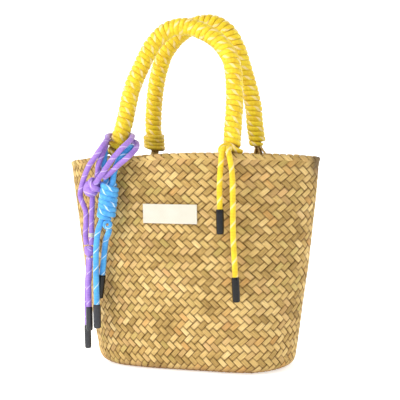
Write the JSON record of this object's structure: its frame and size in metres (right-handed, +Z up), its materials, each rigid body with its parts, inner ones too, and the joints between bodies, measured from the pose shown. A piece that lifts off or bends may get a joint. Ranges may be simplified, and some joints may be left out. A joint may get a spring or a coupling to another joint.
{
  "type": "straw basket bag",
  "caption": "Plaited straw basket bag with two cord-wound handles, a bare label and knotted purple and blue cords on one handle's foot.",
  "frame": {"origin": "middle of the flat base, on the floor it stands on", "axes": "+Z up towards the handles, +X along the long side to the viewer's right, -Y towards the front with the label"},
  "size_m": [0.268, 0.1537, 0.3688],
  "materials": {
    "straw": "plaited flat straw, matte",
    "core_straw": "plaited straw, matte",
    "yellow_cord": "braided cord, soft sheen",
    "purple_cord": "braided cord with white flecks",
    "blue_cord": "braided cord with white flecks",
    "pale_thread": "loose pale thread",
    "label_cloth": "plain woven cloth",
    "black_cap": "semi-gloss",
    "grey_cap": "semi-gloss"
  },
  "bodies": {
    "root": {"basket": "straw", "label": "label_cloth", "handle_core_front": "core_straw", "handle_wrap_front": "yellow_cord", "handle_core_back": "core_straw", "wrap_collar_back": "yellow_cord", "handle_wrap_back": "yellow_cord", "yellow_knot": "yellow_cord", "yellow_tail_left": "yellow_cord", "yellow_cap_left": "black_cap", "yellow_tail_right": "yellow_cord", "yellow_cap_right": "black_cap", "purple_loop_upper": "purple_cord", "purple_loop_lower": "purple_cord", "purple_knot": "purple_cord", "purple_strand": "purple_cord", "purple_tie": "pale_thread", "purple_small_knot": "purple_cord", "purple_tail_left": "purple_cord", "purple_cap_left": "grey_cap", "purple_tail_right": "purple_cord", "purple_cap_right": "grey_cap", "blue_loop": "blue_cord", "blue_coil": "blue_cord", "blue_eye": "blue_cord", "blue_tail_near": "blue_cord", "blue_cap_near": "grey_cap", "blue_tail_far": "blue_cord", "blue_cap_far": "black_cap"}
  },
  "joints": []
}
